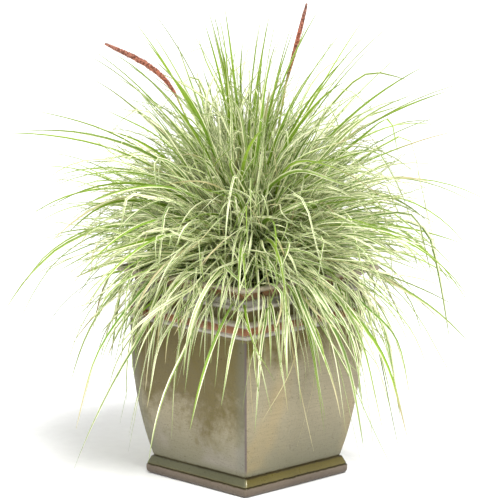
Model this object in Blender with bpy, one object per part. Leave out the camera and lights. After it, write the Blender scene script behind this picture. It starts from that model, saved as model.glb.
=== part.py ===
"""Potted fountain grass clump: a square glazed planter, its soil, and a grass that arches over the rim.

Metres, +Z up. The origin is on the ground under the middle of the planter, whose faces look along X and Y.
The grass is a root crown with nested rings of arching leaf tufts, and two flower spikes on thin stalks.
"""

import math

import bmesh
import bpy
from mathutils import Vector
from mathutils.geometry import interpolate_bezier

# Clearance between pieces that touch.
GAP = 0.0003

# Planter, outside.
BASE_FLOOR = 0.016
FOOT_HALF = 0.1385
FOOT_TOP = 0.0155
BODY_BOTTOM = 0.037
BODY_TOP = 0.304
BODY_HALF = 0.159
BODY_TAPER = 0.0305
BODY_TAPER_POWER = 2.3
BODY_STEPS = 8
NECK_HALF = 0.1577
COLLAR_HALF = 0.1525
COLLAR_BOTTOM = 0.377
LIP_HALF = 0.1805
LIP_TOP = 0.404
WALL = 0.0125
DRAIN_RADIUS = 0.0125
FOOT_CORNER = 0.006
BODY_CORNER = 0.010
INNER_CORNER = 0.016
CORNER_STEPS = 3

# Soil and root crown.
SOIL_EDGE = 0.361
SOIL_TOP = 0.3675
SOIL_FLAT_RADIUS = 0.104
CROWN_RADIUS = 0.098
CROWN_HEIGHT = 0.130
CROWN_SIDES = 24
CROWN_STEPS = 8
CROWN_TIP = math.radians(84)

# Leaf tufts. Each ring of tufts follows one arch in the radius-height plane: how far up the crown it
# starts, in degrees, then the two handles and the tip of its Bezier, as (radius, height).
RIM_RING = (12, (0.160, 0.505), (0.232, 0.480), (0.232, 0.165))
SKIRT_RING = (24, (0.175, 0.545), (0.365, 0.500), (0.392, 0.112))
LOW_RING = (37, (0.165, 0.635), (0.396, 0.615), (0.447, 0.200))
MIDDLE_RING = (51, (0.115, 0.700), (0.350, 0.765), (0.466, 0.480))
HIGH_RING = (64, (0.080, 0.680), (0.220, 0.830), (0.415, 0.745))
UPRIGHT_RING = (75, (0.042, 0.650), (0.090, 0.790), (0.195, 0.872))
RING_COUNTS = {"rim": 8, "skirt": 10, "low": 10, "middle": 8, "high": 7, "upright": 5}
# Where the first tuft of each ring points, in degrees from +X.
RING_TURNS = {"rim": 22.5, "skirt": 18, "low": 9, "middle": 22, "high": 45, "upright": 81}
TUFT_STEPS = 9
TUFT_START_THICKNESS = 0.005
TUFT_THICKNESS = 0.009
TUFT_TIP_THICKNESS = 0.002
TUFT_START_SHARE = 0.45
TUFT_WIDE_SHARE = 0.90
TUFT_TIP_SHARE = 0.08
TUFT_TIP_POWER = 1.5
CROWN_CLEARANCE = 0.0008
RIM_SQUARENESS = 0.85

# The tuft in the middle of the crown stands almost straight.
TOP_TUFT_HEIGHT = 0.868
TOP_TUFT_RADIUS = 0.013
TOP_TUFT_SIDES = 10

# Flower stalks and spikes run in the vertical plane through the corners on the +X+Y and -X-Y sides.
SPIKE_PLANE = math.radians(45)
STALK_RADIUS = 0.0016
SPIKE_SIDES = 12
UPRIGHT_STALK = ((0.026, 0.505), (0.048, 0.600), (0.060, 0.665), (0.0735, 0.7505))
UPRIGHT_SPIKE = ((0.074, 0.7525), (0.088, 0.805), (0.100, 0.850), (0.112, 0.900))
UPRIGHT_SPIKE_RADIUS = 0.0052
ARCHING_STALK = ((-0.032, 0.503), (-0.062, 0.575), (-0.105, 0.665), (-0.129, 0.720))
ARCHING_SPIKE = ((-0.130, 0.7225), (-0.160, 0.785), (-0.215, 0.800), (-0.265, 0.825))
ARCHING_SPIKE_RADIUS = 0.0070


def clear_scene():
    for obj in list(bpy.data.objects):
        bpy.data.objects.remove(obj)


def material(name, colour, roughness):
    made = bpy.data.materials.new(name)
    made.use_nodes = True
    shader = made.node_tree.nodes["Principled BSDF"]
    shader.inputs["Base Color"].default_value = (*colour, 1)
    shader.inputs["Roughness"].default_value = roughness
    return made


def add_ring(mesh, points):
    """Adds a closed loop of edges through the points and returns the edges."""
    verts = [mesh.verts.new(point) for point in points]
    return [mesh.edges.new((a, b)) for a, b in zip(verts, verts[1:] + verts[:1])]


def loft(name, rings, finish, closed=False):
    """Bridges each ring of points to the next. A closed loft also joins the last to the first."""
    mesh = bmesh.new()
    loops = [add_ring(mesh, ring) for ring in rings]
    for lower, upper in zip(loops, loops[1:]):
        bmesh.ops.bridge_loops(mesh, edges=lower + upper)
    if closed:
        bmesh.ops.bridge_loops(mesh, edges=loops[-1] + loops[0])
    else:
        for end in (loops[0], loops[-1]):
            bmesh.ops.contextual_create(mesh, geom=end)
    bmesh.ops.recalc_face_normals(mesh, faces=mesh.faces)
    data = bpy.data.meshes.new(name)
    mesh.to_mesh(data)
    mesh.free()
    data.materials.append(finish)
    data.shade_smooth()
    data.set_sharp_from_angle(angle=math.radians(40))
    obj = bpy.data.objects.new(name, data)
    bpy.context.scene.collection.objects.link(obj)
    return obj


def rounded_square(half, corner, height):
    """Points round a square with rounded corners, counter-clockwise seen from above."""
    corner = min(corner, half)
    points = []
    for quarter in range(4):
        turn = quarter * math.pi / 2
        middle = turn + math.pi / 4
        centre = Vector((math.cos(middle), math.sin(middle), 0)) * (half - corner) * math.sqrt(2)
        for step in range(CORNER_STEPS + 1):
            angle = turn + step * math.pi / 2 / CORNER_STEPS
            arm = Vector((math.cos(angle), math.sin(angle), 0)) * corner
            points.append(centre + arm + Vector((0, 0, height)))
    return points


def body_half(height):
    """Half the width of the bellied body at a height."""
    share = (height - BODY_BOTTOM) / (BODY_TOP - BODY_BOTTOM)
    return BODY_HALF - BODY_TAPER * (1 - share) ** BODY_TAPER_POWER


def outer_profile():
    """(half width, corner radius, height) up the outside of the planter, from foot to lip."""
    foot = [(FOOT_HALF - 0.0050, 0), (FOOT_HALF - 0.0014, 0.0030), (FOOT_HALF, 0.0085)]
    foot += [(FOOT_HALF, FOOT_TOP), (FOOT_HALF - 0.0022, FOOT_TOP + 0.0050)]
    foot += [(body_half(BODY_BOTTOM) + 0.0025, BODY_BOTTOM - 0.0046)]
    foot += [(body_half(BODY_BOTTOM) - 0.0008, BODY_BOTTOM - 0.0020)]
    body = []
    for step in range(BODY_STEPS + 1):
        height = BODY_BOTTOM + (BODY_TOP - BODY_BOTTOM) * (step / BODY_STEPS) ** 1.3
        body.append((body_half(height), height))
    bead = [(BODY_HALF + 0.0018, BODY_TOP + 0.0035), (BODY_HALF + 0.0006, BODY_TOP + 0.0075)]
    torus = [(BODY_HALF + 0.0034, BODY_TOP + 0.0130), (BODY_HALF + 0.0043, BODY_TOP + 0.0195)]
    torus += [(BODY_HALF + 0.0024, BODY_TOP + 0.0265), (NECK_HALF, BODY_TOP + 0.0320)]
    neck = [(NECK_HALF, COLLAR_BOTTOM - 0.0215)]
    shelf = [(NECK_HALF + 0.0038, COLLAR_BOTTOM - 0.0145), (NECK_HALF + 0.0030, COLLAR_BOTTOM - 0.0100)]
    collar = [(COLLAR_HALF, COLLAR_BOTTOM), (COLLAR_HALF + 0.0020, COLLAR_BOTTOM + 0.0065)]
    collar += [(COLLAR_HALF + 0.0110, COLLAR_BOTTOM + 0.0140)]
    lip = [(LIP_HALF - 0.0030, LIP_TOP - 0.0090), (LIP_HALF, LIP_TOP - 0.0060)]
    lip += [(LIP_HALF, LIP_TOP - 0.0025), (LIP_HALF - 0.0025, LIP_TOP)]
    stations = [(half, FOOT_CORNER, height) for half, height in foot]
    upper = body + bead + torus + neck + shelf + collar + lip
    return stations + [(half, BODY_CORNER, height) for half, height in upper]


def inner_profile():
    """(half width, corner radius, height) down the inside of the planter, from lip to floor."""
    stations = [(LIP_HALF - 0.0080, LIP_TOP), (LIP_HALF - 0.0115, LIP_TOP - 0.0025)]
    stations += [(COLLAR_HALF + 0.0035, COLLAR_BOTTOM + 0.0160), (COLLAR_HALF - 0.0105, COLLAR_BOTTOM)]
    stations += [(NECK_HALF - WALL, SOIL_EDGE - 0.008)]
    for height in (BODY_TOP, 0.20, 0.12, 0.065):
        stations.append((body_half(height) - WALL, height))
    stations += [(body_half(BODY_BOTTOM) - WALL - 0.004, BODY_BOTTOM - 0.006)]
    stations += [(body_half(BODY_BOTTOM) - WALL - 0.013, BASE_FLOOR)]
    return [(half, INNER_CORNER, height) for half, height in stations]


def build_planter(glaze):
    drain = [(DRAIN_RADIUS, DRAIN_RADIUS, BASE_FLOOR), (DRAIN_RADIUS, DRAIN_RADIUS, 0)]
    stations = outer_profile() + inner_profile() + drain
    return loft("planter", [rounded_square(*station) for station in stations], glaze, closed=True)


def build_soil(earth):
    """Fills the planter up to a low mound. Its sides follow the inner walls, a gap away."""
    inner = [station for station in inner_profile() if station[2] < SOIL_EDGE]
    stations = [(half - 2 * GAP, corner, height + GAP) for half, corner, height in reversed(inner)]
    edge_half = inner_profile()[3][0] - 2 * GAP
    stations.append((edge_half, INNER_CORNER, SOIL_EDGE))
    stations.append((edge_half - 0.020, 0.04, (SOIL_EDGE + SOIL_TOP) / 2))
    stations.append((SOIL_FLAT_RADIUS, SOIL_FLAT_RADIUS, SOIL_TOP))
    return loft("potting_soil", [rounded_square(*station) for station in stations], earth)


def crown_point(latitude, clearance=0.0):
    """(radius, height) on the outside of the root crown, which is half an ellipsoid on the soil."""
    radius = CROWN_RADIUS * math.cos(latitude)
    height = SOIL_TOP + GAP + CROWN_HEIGHT * math.sin(latitude)
    out = Vector((math.cos(latitude) / CROWN_RADIUS, math.sin(latitude) / CROWN_HEIGHT)).normalized()
    return Vector((radius, height)) + out * clearance


def build_crown(straw):
    rings = []
    for step in range(CROWN_STEPS + 1):
        radius, height = crown_point(CROWN_TIP * step / CROWN_STEPS)
        turns = [2 * math.pi * side / CROWN_SIDES for side in range(CROWN_SIDES)]
        rings.append([Vector((radius * math.cos(a), radius * math.sin(a), height)) for a in turns])
    return loft("root_crown", rings, straw)


def planar_path(start, handle_1, handle_2, end, steps):
    """Points of a Bezier in the radius-height plane, and the unit normals on its upper side."""
    knots = [Vector((x, y, 0)) for x, y in (start, handle_1, handle_2, end)]
    points = [point.to_2d() for point in interpolate_bezier(*knots, steps)]
    normals = []
    for before, after in zip(points[:1] + points[:-1], points[1:] + points[-1:]):
        along = (after - before).normalized()
        normals.append(Vector((-along.y, along.x)))
    return points, normals


def lens_size(share):
    """(share of the sector, thickness) of a tuft at a share of its length."""
    if share < 0.5:
        grown = math.sin(share * math.pi)
        width = TUFT_START_SHARE + (TUFT_WIDE_SHARE - TUFT_START_SHARE) * grown
        thickness = TUFT_START_THICKNESS + (TUFT_THICKNESS - TUFT_START_THICKNESS) * grown
        return width, thickness
    left = 1 - (2 * share - 1) ** TUFT_TIP_POWER
    width = TUFT_TIP_SHARE + (TUFT_WIDE_SHARE - TUFT_TIP_SHARE) * left
    thickness = TUFT_TIP_THICKNESS + (TUFT_THICKNESS - TUFT_TIP_THICKNESS) * left
    return width, thickness


def squared_radius(radius, azimuth, share, squareness):
    """Widens an arch towards the planter's corners, more the further along the arch it is."""
    corner = 1 / max(abs(math.cos(azimuth)), abs(math.sin(azimuth)))
    return radius * (1 + (corner - 1) * squareness * min(1.0, 2 * share))


def lens_ring(edge, lower, upper, azimuth, half_turn, share, squareness):
    """Six points round a tuft: two thin edges, two points on its upper side and two on its lower side."""
    spread = ((edge, -1.0), (upper, -0.5), (upper, 0.5), (edge, 1.0), (lower, 0.5), (lower, -0.5))
    points = []
    for (radius, height), side in spread:
        turn = azimuth + side * half_turn
        wide = squared_radius(radius, turn, share, squareness)
        points.append(Vector((wide * math.cos(turn), wide * math.sin(turn), height)))
    return points


def build_tuft(name, ring, azimuth, sector, leaf, squareness=0.0):
    """One arching tuft of leaves, from the crown to the leaf tips, inside its own sector."""
    latitude = math.radians(ring[0])
    points, normals = planar_path(crown_point(latitude, CROWN_CLEARANCE), *ring[1:], TUFT_STEPS)
    rings = []
    for step, (point, normal) in enumerate(zip(points, normals)):
        share = step / (TUFT_STEPS - 1)
        width, thickness = lens_size(share)
        lower, upper = point - normal * thickness / 2, point + normal * thickness / 2
        if step == 0:
            spread = thickness / 2 / CROWN_RADIUS
            lower = crown_point(latitude - spread, CROWN_CLEARANCE)
            upper = crown_point(latitude + spread, CROWN_CLEARANCE)
        rings.append(lens_ring(point, lower, upper, azimuth, sector / 2 * width, share, squareness))
    return loft(name, rings, leaf)


def build_tuft_ring(title, ring, leaf, squareness=0.0):
    count = RING_COUNTS[title]
    sector = 2 * math.pi / count
    for index in range(count):
        azimuth = math.radians(RING_TURNS[title]) + index * sector
        build_tuft(f"leaf_tuft_{title}_{index + 1:02d}", ring, azimuth, sector, leaf, squareness)


def turned_ring(centre, radius, sides):
    turns = [2 * math.pi * side / sides for side in range(sides)]
    return [centre + Vector((math.cos(a), math.sin(a), 0)) * radius for a in turns]


def build_top_tuft(leaf):
    """The upright leaves at the middle of the clump, as one slender spindle."""
    bottom = crown_point(CROWN_TIP).y + GAP
    rings = []
    for share, width in ((0.0, 0.55), (0.2, 0.85), (0.45, 1.0), (0.7, 0.75), (0.88, 0.4), (1.0, 0.08)):
        height = bottom + (TOP_TUFT_HEIGHT - bottom) * share
        rings.append(turned_ring(Vector((0, 0, height)), TOP_TUFT_RADIUS * width, TOP_TUFT_SIDES))
    return loft("leaf_tuft_top", rings, leaf)


def spike_plane_point(along, height):
    return Vector((along * math.cos(SPIKE_PLANE), along * math.sin(SPIKE_PLANE), height))


def swept_rod(name, route, radii, sides, finish):
    """A round rod along a Bezier in the spikes' plane, with one radius for each station."""
    knots = [spike_plane_point(*knot) for knot in route]
    points = interpolate_bezier(*knots, len(radii))
    across = spike_plane_point(1, 0).cross(Vector((0, 0, 1)))
    rings = []
    for index, (point, radius) in enumerate(zip(points, radii)):
        along = (points[min(index + 1, len(points) - 1)] - points[max(index - 1, 0)]).normalized()
        over = along.cross(across)
        turns = [2 * math.pi * side / sides for side in range(sides)]
        rings.append([point + (across * math.cos(a) + over * math.sin(a)) * radius for a in turns])
    return loft(name, rings, finish)


def build_flower(title, stalk, spike, spike_radius, straw, bristle):
    swept_rod(f"flower_stalk_{title}", stalk, [STALK_RADIUS] * 9, 6, straw)
    shares = (0.35, 0.8, 1.0, 1.0, 0.95, 0.85, 0.7, 0.45, 0.12)
    radii = [spike_radius * share for share in shares]
    swept_rod(f"flower_spike_{title}", spike, radii, SPIKE_SIDES, bristle)


def main():
    clear_scene()
    glaze = material("olive_glaze", (0.20, 0.17, 0.11), 0.22)
    earth = material("potting_soil", (0.035, 0.024, 0.016), 0.95)
    straw = material("straw_sheath", (0.42, 0.40, 0.20), 0.7)
    leaf = material("variegated_leaf", (0.46, 0.56, 0.28), 0.5)
    bristle = material("mauve_bristle", (0.34, 0.12, 0.10), 0.75)
    build_planter(glaze)
    build_soil(earth)
    build_crown(straw)
    build_tuft_ring("rim", RIM_RING, leaf, RIM_SQUARENESS)
    build_tuft_ring("skirt", SKIRT_RING, leaf)
    build_tuft_ring("low", LOW_RING, leaf)
    build_tuft_ring("middle", MIDDLE_RING, leaf)
    build_tuft_ring("high", HIGH_RING, leaf)
    build_tuft_ring("upright", UPRIGHT_RING, leaf)
    build_top_tuft(leaf)
    build_flower("upright", UPRIGHT_STALK, UPRIGHT_SPIKE, UPRIGHT_SPIKE_RADIUS, straw, bristle)
    build_flower("arching", ARCHING_STALK, ARCHING_SPIKE, ARCHING_SPIKE_RADIUS, straw, bristle)


main()
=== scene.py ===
"""Variegated fountain grass in a square glazed planter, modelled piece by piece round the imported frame.

Each piece or group of like pieces has its own operator. main() runs them in order.
"""

import math
from typing import NamedTuple

import bpy
import numpy as np
from bpy.props import FloatProperty, FloatVectorProperty, IntProperty, PointerProperty, StringProperty
from mathutils import Matrix, Vector


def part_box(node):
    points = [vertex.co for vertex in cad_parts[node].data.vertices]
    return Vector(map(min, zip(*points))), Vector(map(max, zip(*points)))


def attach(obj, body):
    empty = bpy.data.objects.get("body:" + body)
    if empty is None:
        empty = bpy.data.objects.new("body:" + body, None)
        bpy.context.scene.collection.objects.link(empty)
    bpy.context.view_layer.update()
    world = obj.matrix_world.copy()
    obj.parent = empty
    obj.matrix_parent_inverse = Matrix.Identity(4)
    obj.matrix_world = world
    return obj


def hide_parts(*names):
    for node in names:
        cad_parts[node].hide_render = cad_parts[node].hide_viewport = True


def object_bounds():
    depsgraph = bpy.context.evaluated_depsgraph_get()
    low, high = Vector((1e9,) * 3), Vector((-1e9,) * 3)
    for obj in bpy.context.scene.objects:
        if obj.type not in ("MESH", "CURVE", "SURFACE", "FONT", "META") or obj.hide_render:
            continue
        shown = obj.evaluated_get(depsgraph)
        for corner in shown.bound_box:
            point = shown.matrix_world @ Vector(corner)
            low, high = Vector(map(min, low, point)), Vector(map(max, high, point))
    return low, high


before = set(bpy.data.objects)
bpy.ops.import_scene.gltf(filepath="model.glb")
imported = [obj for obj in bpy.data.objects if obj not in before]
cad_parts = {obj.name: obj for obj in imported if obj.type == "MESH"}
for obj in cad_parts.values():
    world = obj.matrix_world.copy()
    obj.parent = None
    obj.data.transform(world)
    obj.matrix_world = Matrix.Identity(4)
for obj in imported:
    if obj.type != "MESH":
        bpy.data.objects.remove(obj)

bl_info = {
    "name": "Potted Fountain Grass",
    "version": (1, 0, 0),
    "blender": (4, 5, 0),
    "location": "3D View > Sidebar > Grass Clump",
    "description": "Builds a variegated fountain grass clump in a square glazed planter",
    "category": "Object",
}

BODY = "root"
PLANTER_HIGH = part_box("planter")[1]
SOIL_LOW, SOIL_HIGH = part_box("potting_soil")
CROWN_LOW, CROWN_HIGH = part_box("root_crown")
CAD_LOW, CAD_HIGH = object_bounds()

# Planter proportions, as shares of half the lip's width and of the planter's height.
LIP_HALF = PLANTER_HIGH.x
LIP_TOP = PLANTER_HIGH.z
FOOT_HALF = 0.7673 * LIP_HALF
BODY_HALF = 0.8809 * LIP_HALF
NECK_HALF = 0.8737 * LIP_HALF
BODY_BOTTOM = 0.0916 * LIP_TOP
BODY_TOP = 0.7525 * LIP_TOP
COLLAR_BOTTOM = 0.9332 * LIP_TOP
BODY_TAPER = 0.0305
BODY_TAPER_POWER = 2.3
WALL = 0.0125
FLOOR_TOP = 0.016
DRAIN_RADIUS = 0.0125
CORNER_RADIUS = 0.0062
CORNER_SEGMENTS = 6
SIDE_CUTS = 9
BODY_STEPS = 22

CROWN_RADIUS = CROWN_HIGH.x
SOIL_TOP = CROWN_LOW.z

# A leaf is over the rim from here outwards, and it rests this far off what it lies on.
RIM_START = LIP_HALF * 0.80
REST_GAP = 0.004
WALL_GAP = 0.003


class RingStyle(NamedTuple):
    """How the leaves of one ring of tufts grow."""

    leaves: int  # in each tuft
    reach: float  # usual share of the tuft's length
    bend: float  # the whole turn of a leaf, in radians
    hook: float  # where it turns: under 1 near its root, over 1 near its tip
    stray: float  # how far a leaf strays from its tuft up and down, in radians
    fan: float  # and to the side
    long: float  # share of leaves that reach the tuft's tip
    tint: float  # 0 for an all cream leaf, 1 for a green one


class FillingStyle(NamedTuple):
    """How the leaves that fill the clump grow."""

    leaves: int
    length: tuple  # shortest and longest
    width: tuple  # narrowest and widest
    fan: float  # how far a leaf strays to the side, in radians
    dry: float  # share of dry leaves
    wander: float  # how tangled they are: 1 is usual


LEAF_RINGS = {
    "rim": RingStyle(9, reach=0.52, bend=2.1, hook=0.62, stray=0.22, fan=0.60, long=0.06, tint=0.42),
    "skirt": RingStyle(15, reach=0.47, bend=1.8, hook=0.70, stray=0.26, fan=0.55, long=0.07, tint=0.42),
    "low": RingStyle(28, reach=0.56, bend=1.2, hook=0.90, stray=0.30, fan=0.45, long=0.10, tint=0.32),
    "middle": RingStyle(56, reach=0.62, bend=0.8, hook=1.20, stray=0.30, fan=0.42, long=0.14, tint=0.34),
    "high": RingStyle(36, reach=0.54, bend=0.7, hook=1.50, stray=0.32, fan=0.48, long=0.12, tint=0.44),
    "upright": RingStyle(20, reach=0.46, bend=0.4, hook=1.80, stray=0.28, fan=0.60, long=0.08, tint=0.62),
    "top": RingStyle(15, reach=0.46, bend=0.3, hook=1.80, stray=0.24, fan=0.40, long=0.08, tint=0.68),
}
# The short tangle in the heart of the clump, and longer leaves that cross all ways.
FILLINGS = {
    "heart": FillingStyle(1200, (0.08, 0.28), (0.0014, 0.0060), fan=1.1, dry=0.10, wander=1.7),
    "crossing": FillingStyle(1250, (0.14, 0.34), (0.0026, 0.0072), fan=0.8, dry=0.02, wander=1.0),
}
LEAF_STATIONS = 16
LEAF_THICKNESS = 0.0004
LEAF_KEEL = 0.34
LEAF_CREASE = 1.1
KINKED_SHARE = 0.05
RING_WANDER = 1.5
ROOT_SPREAD = 0.014
SECTOR_SPREAD = 0.45
LONG_REACH = (0.82, 1.04)
WITHERED_SHARE = 0.012
WITHERED_WIDTH = 0.35
DRY_TIPPED_SHARE = 0.16
DRY_TIP = (0.28, 0.46)
PALEST_TINT = 0.14
# Up to this share fewer leaves spill over the lip at this corner.
CORNER_THINNING = 0.45
OPEN_CORNER = math.radians(-44.5)

# Single long leaves that stand out of the clump, and thin dry strands that hang down the planter.
STRAY_LEAVES = 84
DRY_STRANDS = 7
GOLDEN_TURN = math.radians(137.5)
STEEPEST_DROOP = math.radians(166)

# The stray leaves rise from the first angle above level to the last.
STRAY_ANGLES = (math.radians(-24), math.radians(84))

# How far a leaf may stand outside the frame, beside it and above it; below 0 it stays inside.
SIDE_SLACK = 0.015
TOP_SLACK = -0.004
GROUND_CLEARANCE = 0.004

# Where the random draws of each kind of leaf start.
RING_SEEDS = 50
FILLING_SEED = 900
STRAY_SEED = 950

SPIKE_FLORETS = 900
SPIKE_BRISTLES = 1300
SPIKE_CORE = 0.0026
FLORET_LENGTH = 0.0074
FLORET_WIDTH = 0.00110
BRISTLE_WIDTH = 0.00042
# fuzz is how far the bristles stand out, and ripe_from and ripe_to go from 0, green, to 1, brown.
FLOWERS = {
    "upright": {"fuzz": 0.58, "ripe_from": 0.0, "ripe_to": 1.0},
    "arching": {"fuzz": 1.15, "ripe_from": 0.5, "ripe_to": 0.85},
}

CHIPS = 760
SHEATHS = 420

FLOOR_SIZE = 60
FLOOR_GAP = 0.0005
# Each lamp: (angle from the camera, angle above level, softness, strength), the angles in radians.
LAMPS = {"key": (0.45, 0.95, 0.30, 3.5), "fill": (-0.8, 0.50, 0.9, 1.1)}


def srgb(red, green, blue):
    """Linear colour from screen values between 0 and 255."""
    return tuple((value / 255) ** 2.2 for value in (red, green, blue))


# ---------------------------------------------------------------- settings


def colour_setting(name, description, colour):
    return FloatVectorProperty(
        name=name, description=description, default=colour, subtype="COLOR", size=3, min=0, max=1
    )


class PlanterSettings(bpy.types.PropertyGroup):
    """Sizes and glaze of the planter."""

    height: FloatProperty(
        name="Height", description="From the ground to the top of the lip", default=LIP_TOP, unit="LENGTH"
    )
    unevenness: FloatProperty(
        name="Unevenness", description="How far the hand-thrown walls wander", default=0.0014, unit="LENGTH"
    )
    taupe: colour_setting("Taupe", "The glaze over most of the walls", srgb(146, 137, 112))
    # The olive is the glaze's own colour; the glaze finish also spreads it as painted shade at the top of the
    # walls and down the Y walls.
    olive: colour_setting("Olive", "The glaze where it lies thick", srgb(84, 72, 2))
    terracotta: colour_setting("Terracotta", "The clay showing through on the band", srgb(136, 88, 56))
    pale: colour_setting("Pale edge", "The glaze where it breaks over an edge", srgb(176, 170, 162))


class GrassSettings(bpy.types.PropertyGroup):
    """Sizes and colours of the leaves."""

    seed: IntProperty(name="Seed", description="Which arrangement of leaves grows", default=7, min=0)
    width: FloatProperty(
        name="Leaf width", description="Across a full-grown leaf", default=0.0084, unit="LENGTH"
    )
    fullness: FloatProperty(
        name="Fullness", description="Share of the usual number of leaves", default=1.0, min=0.1, max=2
    )
    green: colour_setting("Green", "The middle of a leaf", srgb(116, 150, 38))
    cream: colour_setting("Cream", "The edges of a leaf", srgb(255, 255, 214))
    fresh: colour_setting("Fresh green", "Young leaves and tips", srgb(162, 194, 60))
    withered: colour_setting("Withered", "Dry leaves and tips", srgb(206, 200, 156))


class FlowerSettings(bpy.types.PropertyGroup):
    """Sizes and colours of the flower spikes."""

    bristle: FloatProperty(
        name="Bristle length", description="How far the bristles stand out", default=0.0065, unit="LENGTH"
    )
    mauve: colour_setting("Mauve", "The florets", srgb(192, 112, 84))
    pink: colour_setting("Pink", "The tips of the bristles", srgb(236, 174, 152))
    stalk: colour_setting("Stalk", "The flower stalks", srgb(150, 166, 72))


class StageSettings(bpy.types.PropertyGroup):
    """Camera, light and floor."""

    distance: FloatProperty(
        name="Camera distance",
        description="From the camera to the planter, level",
        default=4.855,
        unit="LENGTH",
    )
    aside: FloatProperty(
        name="Camera shift",
        description="How far the camera stands right of the planter's middle",
        default=0.0062,
        unit="LENGTH",
    )
    height: FloatProperty(
        name="Camera height", description="Above the ground", default=1.275, unit="LENGTH"
    )
    around: FloatProperty(
        name="Camera angle",
        description="Round the planter from its -Y face",
        default=math.radians(45.46),
        subtype="ANGLE",
    )
    down: FloatProperty(
        name="Camera tilt", description="Below the horizon", default=math.radians(9.833), subtype="ANGLE"
    )
    lens: FloatProperty(name="Lens", description="Focal length in millimetres", default=187.2)
    light: FloatProperty(name="Light", description="Strength of the surrounding light", default=0.68)


# ---------------------------------------------------------------- shared helpers


def select_none():
    if bpy.context.mode != "OBJECT":
        bpy.ops.object.mode_set(mode="OBJECT")
    bpy.ops.object.select_all(action="DESELECT")


def select_only(obj):
    select_none()
    obj.select_set(True)
    bpy.context.view_layer.objects.active = obj


def apply_modifier(obj, kind, **settings):
    """Adds a modifier with these settings and applies it at once."""
    select_only(obj)
    modifier = obj.modifiers.new(kind.title(), kind)
    for name, value in settings.items():
        setattr(modifier, name, value)
    bpy.ops.object.modifier_apply(modifier=modifier.name)


def roughen(obj, name, grain, strength, middle=0.5, **more):
    """Moves the surface of a piece in and out by a cloud pattern."""
    clouds = bpy.data.textures.new(name, "CLOUDS")
    clouds.noise_scale = grain
    place = {"texture": clouds, "texture_coords": "LOCAL"}
    apply_modifier(obj, "DISPLACE", strength=strength, mid_level=middle, **place, **more)


def settle(obj, name, finish, node=None, smooth=math.radians(40)):
    """Names a finished piece, gives it its material, and makes it ride on the body."""
    obj.name = name
    obj.data.name = name
    obj.data.materials.clear()
    obj.data.materials.append(finish)
    obj.data.shade_smooth()
    obj.data.set_sharp_from_angle(angle=smooth)
    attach(obj, BODY)
    if node:
        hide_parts(node)


def unit(vectors):
    return vectors / np.maximum(np.linalg.norm(vectors, axis=-1, keepdims=True), 1e-9)


# ---------------------------------------------------------------- materials


def shared_finish(name, build, settings):
    """The finish of this name, built the first time it is asked for."""
    return bpy.data.materials.get(name) or build(name, settings)


class Nodes:
    """Short calls for building one material's node tree."""

    def __init__(self, name):
        self.material = bpy.data.materials.new(name)
        self.material.use_nodes = True
        self.tree = self.material.node_tree
        self.shader = self.tree.nodes["Principled BSDF"]

    def add(self, kind, inputs=(), **settings):
        node = self.tree.nodes.new(kind)
        for name, value in settings.items():
            setattr(node, name, value)
        for socket, value in dict(inputs).items():
            self.put(node.inputs[socket], value)
        return node

    def put(self, socket, value):
        if isinstance(value, bpy.types.NodeSocket):
            self.tree.links.new(value, socket)
        elif isinstance(value, tuple) and len(value) == 3 and socket.type == "RGBA":
            socket.default_value = (*value, 1)
        else:
            socket.default_value = value

    def set(self, **values):
        for name, value in values.items():
            self.put(self.shader.inputs[name.replace("_", " ").title()], value)

    def object_coords(self):
        return self.add("ShaderNodeTexCoord").outputs["Object"]

    def attribute(self, name):
        return self.add("ShaderNodeAttribute", attribute_name=name).outputs["Fac"]

    def stretched(self, coords, scale):
        return self.add("ShaderNodeMapping", {"Vector": coords, "Scale": scale}).outputs["Vector"]

    def noise(self, coords, scale, detail=3.0, roughness=0.55, distortion=0.0):
        inputs = {
            "Vector": coords,
            "Scale": scale,
            "Detail": detail,
            "Roughness": roughness,
            "Distortion": distortion,
        }
        return self.add("ShaderNodeTexNoise", inputs).outputs["Fac"]

    def math(self, operation, first, second=0.0):
        node = self.add("ShaderNodeMath", operation=operation)
        self.put(node.inputs[0], first)
        self.put(node.inputs[1], second)
        return node.outputs["Value"]

    def span(self, value, low, high, to_low=0.0, to_high=1.0, smooth=True):
        """Maps low..high to to_low..to_high, clamped."""
        node = self.add("ShaderNodeMapRange", interpolation_type="SMOOTHSTEP" if smooth else "LINEAR")
        for socket, number in enumerate((value, low, high, to_low, to_high)):
            self.put(node.inputs[socket], number)
        return node.outputs["Result"]

    def ramp(self, value, stops):
        """A colour ramp; each stop is (position, colour)."""
        node = self.add("ShaderNodeValToRGB", {"Fac": value})
        elements = node.color_ramp.elements
        elements[0].position, elements[0].color = stops[0][0], (*stops[0][1], 1)
        elements[1].position, elements[1].color = stops[-1][0], (*stops[-1][1], 1)
        for position, colour in stops[1:-1]:
            elements.new(position).color = (*colour, 1)
        return node.outputs["Color"]

    def mix(self, factor, first, second, blend="MIX"):
        node = self.add("ShaderNodeMix", data_type="RGBA", blend_type=blend)
        self.put(node.inputs["Factor"], factor)
        self.put(node.inputs[6], first)
        self.put(node.inputs[7], second)
        return node.outputs[2]

    def bump(self, height, strength, distance, under=None):
        inputs = {"Height": height, "Strength": strength, "Distance": distance}
        if under:
            inputs["Normal"] = under
        return self.add("ShaderNodeBump", inputs).outputs["Normal"]


GLAZE_DARK = srgb(58, 50, 30)


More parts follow.
